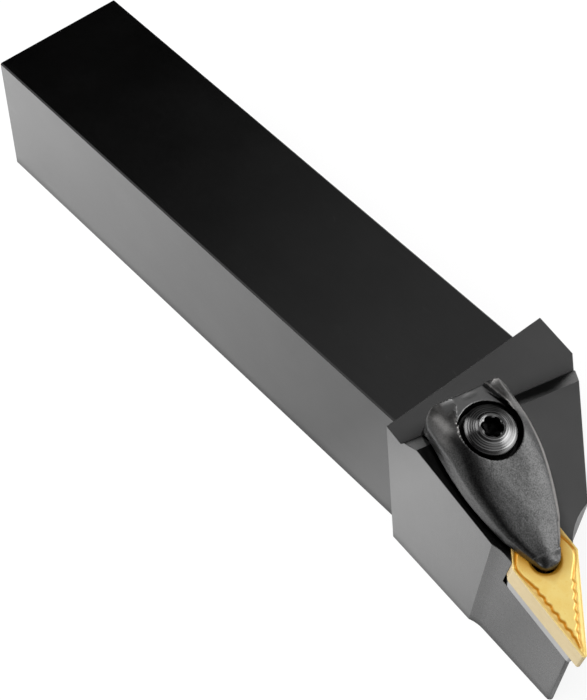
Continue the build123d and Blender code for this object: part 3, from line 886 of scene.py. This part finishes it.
# brightness over a share of the way across the floor, which only reflected rays see: painted light and
# shade in what the steel reflects
FRONT = [(0.0, 0.4), (0.5, 0.4), (0.70, 0.42), (0.86, 1.0)]
TAIL = [
    (0.0, 1.12), (0.525, 0.64), (0.60, 0.92), (0.71, 0.74), (0.75, 0.66), (0.805, 0.78),
    (0.835, 0.38), (1.0, 0.38),
]
REAR = [(0.0, 1.0), (0.12, 0.02), (0.72, 0.02), (0.95, 1.0)]
SEEN_GLOW = 0.86

bm = bmesh.new()
bmesh.ops.create_grid(bm, x_segments=8, y_segments=8, size=FLOOR_HALF)
mesh = bpy.data.meshes.new("floor")
bm.to_mesh(mesh)
bm.free()
floor = bpy.data.objects.new("floor", mesh)
floor.location = (0.1, 0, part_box("holder_body")[0].z - FLOOR_GAP)
scene.collection.objects.link(floor)
n = Net("floor_pale")
path = n.add("ShaderNodeLightPath").outputs
own = n.add("ShaderNodeTexCoord").outputs["Object"]
x, y = n.add("ShaderNodeSeparateXYZ", {"Vector": own}).outputs[:2]
front = n.ramp(n.span_from(y, -0.2, 0.0), FRONT)
tail = n.ramp(n.span_from(x, -0.12, 0.08), TAIL)
rear = n.ramp(n.span_from(y, 0.0, 0.08), REAR)
rear = n.mix(n.span_from(x, -0.05, -0.09), (1, 1, 1), rear)
tone = n.math("MULTIPLY", n.math("MULTIPLY", front, tail), rear)
# painted light and shade: reflected rays see the floor darkened or lightened by these ramps, camera rays
# don't
tone = n.add("ShaderNodeMix", {0: path["Is Glossy Ray"], 2: 1.0, 3: tone}).outputs[0]
matte = n.add("ShaderNodeBsdfDiffuse", {"Color": n.mix(1.0, (0.9, 0.9, 0.9), tone, "MULTIPLY")})
glow = n.add("ShaderNodeEmission", {"Color": (1, 1, 1, 1), "Strength": 1.0})
seen = n.math("MAXIMUM", path["Is Camera Ray"], path["Is Transmission Ray"])
links = {0: n.math("MULTIPLY", seen, SEEN_GLOW), 1: matte.outputs[0], 2: glow.outputs[0]}
both = n.add("ShaderNodeMixShader", links)
out = n.add("ShaderNodeOutputMaterial")
n.tree.links.new(both.outputs[0], out.inputs["Surface"])
mesh.materials.append(n.owner)

# world, which the steel reflects
w = Net("studio", world=True)
where = w.add("ShaderNodeTexCoord").outputs["Generated"]
wx, wy, wz = w.add("ShaderNodeSeparateXYZ", {"Vector": where}).outputs
# direction, full within and none outside these degrees, level
PANELS = [
    ((0.52, 0.64, 0.56), 8, 28, 2.3),
    ((-0.70, -0.30, 0.65), 10, 28, 1.15),
    ((-0.52, -0.80, 0.20), 12, 32, 0.4),
]
AMBIENT = 0.45


def grade(value, stops):
    """A grey ramp over a value from -1 to 1."""
    return w.ramp(w.span_from(value, -1.0, 1.0), [((at + 1) / 2, grey) for at, grey in stops])


def panel(direction, inner, outer, level):
    """A soft round panel of light in one direction."""
    dot = w.vector("DOT_PRODUCT", where, Vector(direction).normalized(), "Value")
    near, far = math.cos(math.radians(inner)), math.cos(math.radians(outer))
    links = {"Value": dot, "From Min": far, "From Max": near}
    share = w.add("ShaderNodeMapRange", links, interpolation_type="SMOOTHSTEP").outputs[0]
    return w.math("MULTIPLY", share, level)


# a pale band from the horizon down, and a patch overhead
horizon = grade(wz, [(0.0, 1.0), (0.18, 0.9), (0.34, 0.30), (0.46, 0.05), (0.56, 0.0)])
face_y = grade(wy, [(-0.9, 0.30), (-0.2, 0.15), (0.3, 1.0)])
face_x = grade(wx, [(-0.62, 0.03), (-0.45, 0.0), (-0.1, 1.0)])
over_x = grade(wx, [(-0.56, 0.0), (-0.50, 0.14), (-0.43, 0.25), (-0.07, 0.21), (0.3, 0.6)])
over_y = grade(wy, [(-0.4, 0.04), (-0.28, 0.14), (-0.05, 0.6), (0.3, 1.0)])
over_z = grade(wz, [(0.5, 0.0), (0.7, 1.0)])
around = w.math("MULTIPLY", horizon, w.math("MULTIPLY", face_y, face_x))
above = w.math("MULTIPLY", w.math("MULTIPLY", over_x, over_y), over_z)
dome = w.math("ADD", around, above)
for spec in PANELS:
    dome = w.math("ADD", dome, panel(*spec))
path = w.add("ShaderNodeLightPath").outputs
sky = w.mix(path["Is Glossy Ray"], (AMBIENT,) * 3, dome)
sky = w.mix(path["Is Camera Ray"], sky, (1, 1, 1))
back = w.add("ShaderNodeBackground", {"Color": sky, "Strength": 1.0})
out = w.add("ShaderNodeOutputWorld")
w.tree.links.new(back.outputs[0], out.inputs["Surface"])
scene.world = w.owner


def lamp(name, at, to, size, watts):
    """A square lamp that isn't reflected, aimed from one place to another."""
    data = bpy.data.lights.new(name, "AREA")
    data.shape = "RECTANGLE"
    data.size = size
    data.size_y = size
    data.energy = watts
    obj = bpy.data.objects.new(name, data)
    scene.collection.objects.link(obj)
    obj.location = at
    obj.rotation_mode = "QUATERNION"
    obj.rotation_quaternion = (Vector(to) - Vector(at)).to_track_quat("-Z", "Y")
    obj.visible_glossy = False


lamp("over", (0.25, -0.25, 0.95), (0.1, 0, 0), 0.6, 6.5)
lamp("rear", (-0.14, -0.24, 0.30), (-0.02, -0.04, 0), 0.2, 1.6)

# camera, fitted to the picture
FOCAL_PX, PICTURE_PX = 2041.918, 700
cam = bpy.data.cameras.new("camera")
cam.sensor_fit = "AUTO"
cam.sensor_width = 36.0
cam.lens = FOCAL_PX * cam.sensor_width / PICTURE_PX
cam.clip_start = 0.01
cam.clip_end = 50
camera = bpy.data.objects.new("camera", cam)
scene.collection.objects.link(camera)
right = Vector((0.646497, 0.762814, -0.012533))
down = Vector((0.592292, -0.512196, -0.621969))
forward = Vector((-0.480866, 0.394678, -0.782941))
turn = Matrix((right, -down, -forward)).transposed().to_4x4()
turn.translation = Vector((0.234293, -0.139754, 0.259779))
camera.matrix_world = turn
scene.camera = camera

scene.view_settings.view_transform = "Standard"
